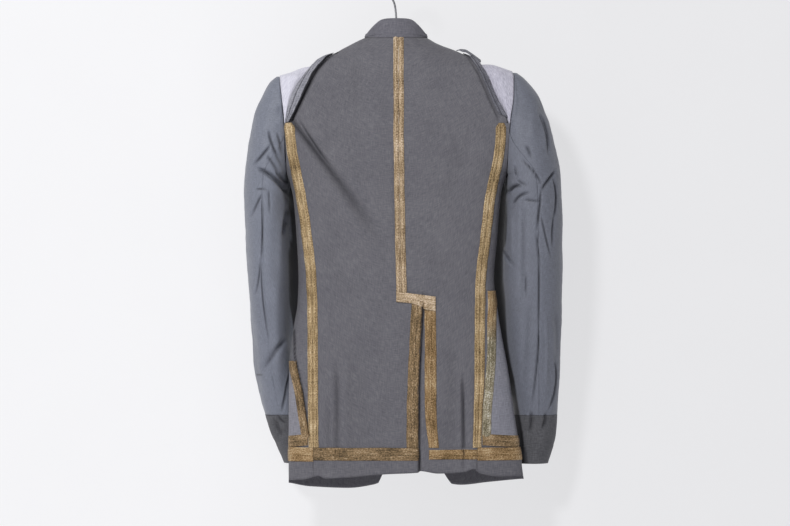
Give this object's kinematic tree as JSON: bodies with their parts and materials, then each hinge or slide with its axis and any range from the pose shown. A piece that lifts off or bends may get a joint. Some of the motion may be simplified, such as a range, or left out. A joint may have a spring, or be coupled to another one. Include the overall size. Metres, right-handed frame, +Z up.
{
  "type": "blazer on a hanger",
  "caption": "Unlined blazer hung inside out on a hanger, seen from the back: bound seams, centre vent, pocket bags, shoulder pads, filled by its own cut.",
  "frame": {"origin": "inside the top of the hook, where the rod bears on it", "axes": "+Z up along the garment, +Y towards the fronts, -Y towards the back that the picture shows, +X to the right seen from the back"},
  "size_m": [0.5283, 0.1944, 0.8518],
  "materials": {
    "cloth": "plain weave, matte",
    "sleeve_lining": "smooth, soft sheen",
    "cuff_cloth": "plain weave, matte",
    "gold_tape": "mottled woven tape",
    "arm_strip": "matte",
    "pocket_cloth": "matte",
    "pad_felt": "soft felt",
    "hanger_wood": "satin",
    "hook_wire": "satin",
    "button_horn": "satin"
  },
  "bodies": {
    "root": {"back_left": "cloth", "back_right": "cloth", "side_left": "cloth", "side_right": "cloth", "front_left": "cloth", "front_right": "cloth", "collar": "cloth", "lapel_left": "cloth", "lapel_right": "cloth", "hem_turn_left": "cloth", "hem_turn_right": "cloth", "hem_turn_side_left": "cloth", "hem_turn_side_right": "cloth", "sleeve_top_left": "sleeve_lining", "sleeve_top_right": "sleeve_lining", "sleeve_under_left": "sleeve_lining", "sleeve_under_right": "sleeve_lining", "cuff_left": "cuff_cloth", "cuff_right": "cuff_cloth", "centre_tape_left": "gold_tape", "centre_tape_right": "gold_tape", "jog_tape": "gold_tape", "vent_tape_left": "gold_tape", "vent_tape_right": "gold_tape", "hem_tape_left": "gold_tape", "hem_tape_right": "gold_tape", "hem_tape_side_left": "gold_tape", "hem_tape_side_right": "gold_tape", "pocket_tape_left": "gold_tape", "pocket_tape_right": "gold_tape", "pocket_hem_tape_left": "gold_tape", "pocket_hem_tape_right": "gold_tape", "side_tape_left_in": "gold_tape", "side_tape_left_out": "gold_tape", "side_tape_right_in": "gold_tape", "side_tape_right_out": "gold_tape", "arm_strip_left": "arm_strip", "arm_strip_right": "arm_strip", "strip_loop_right": "arm_strip", "pocket_bag_left": "pocket_cloth", "pocket_bag_right": "pocket_cloth", "pad_left": "pad_felt", "pad_right": "pad_felt", "hanger_body": "hanger_wood", "hook": "hook_wire", "ferrule": "hook_wire", "button_1": "button_horn", "button_2": "button_horn"}
  },
  "joints": []
}
